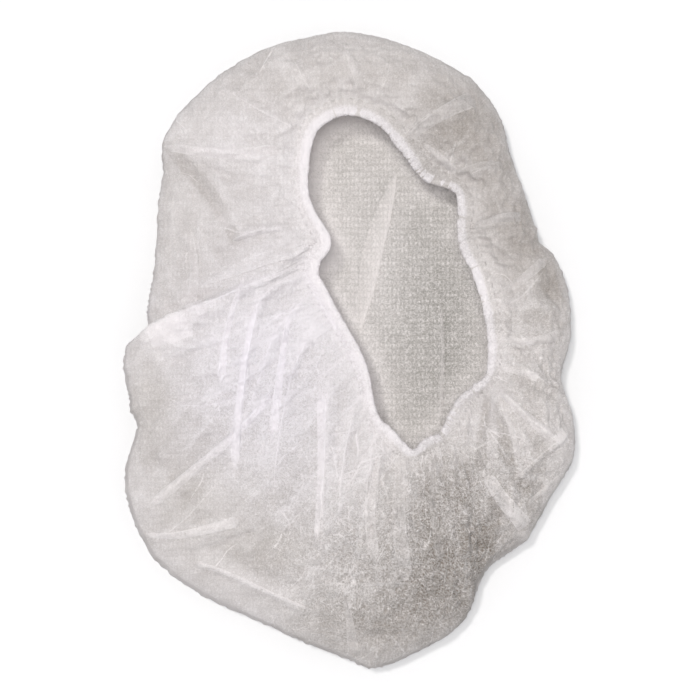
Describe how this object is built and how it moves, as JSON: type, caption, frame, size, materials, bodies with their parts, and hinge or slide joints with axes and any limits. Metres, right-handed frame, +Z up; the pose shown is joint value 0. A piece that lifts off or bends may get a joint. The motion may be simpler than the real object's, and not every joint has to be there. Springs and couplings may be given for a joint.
{
  "type": "bouffant cap",
  "caption": "Disposable bouffant cap of thin nonwoven cloth, lying on its crown with its gathered elastic opening facing up.",
  "frame": {"origin": "middle of the cap's box in plan, on the floor that its crown rests on", "axes": "+Z up out of the opening, +Y along the cap towards its head end, +X to the side that the opening leans to"},
  "size_m": [0.2272, 0.3189, 0.0573],
  "materials": {
    "nonwoven_sheet": "thin spunbonded nonwoven with a fine bonded grid and a silky sheen",
    "folded_hem": "the same nonwoven, folded and gathered, so whiter and denser",
    "elastic_strip": "matte white elastic"
  },
  "bodies": {
    "root": {"crown": "nonwoven_sheet", "hem": "folded_hem", "elastic": "elastic_strip"}
  },
  "joints": []
}
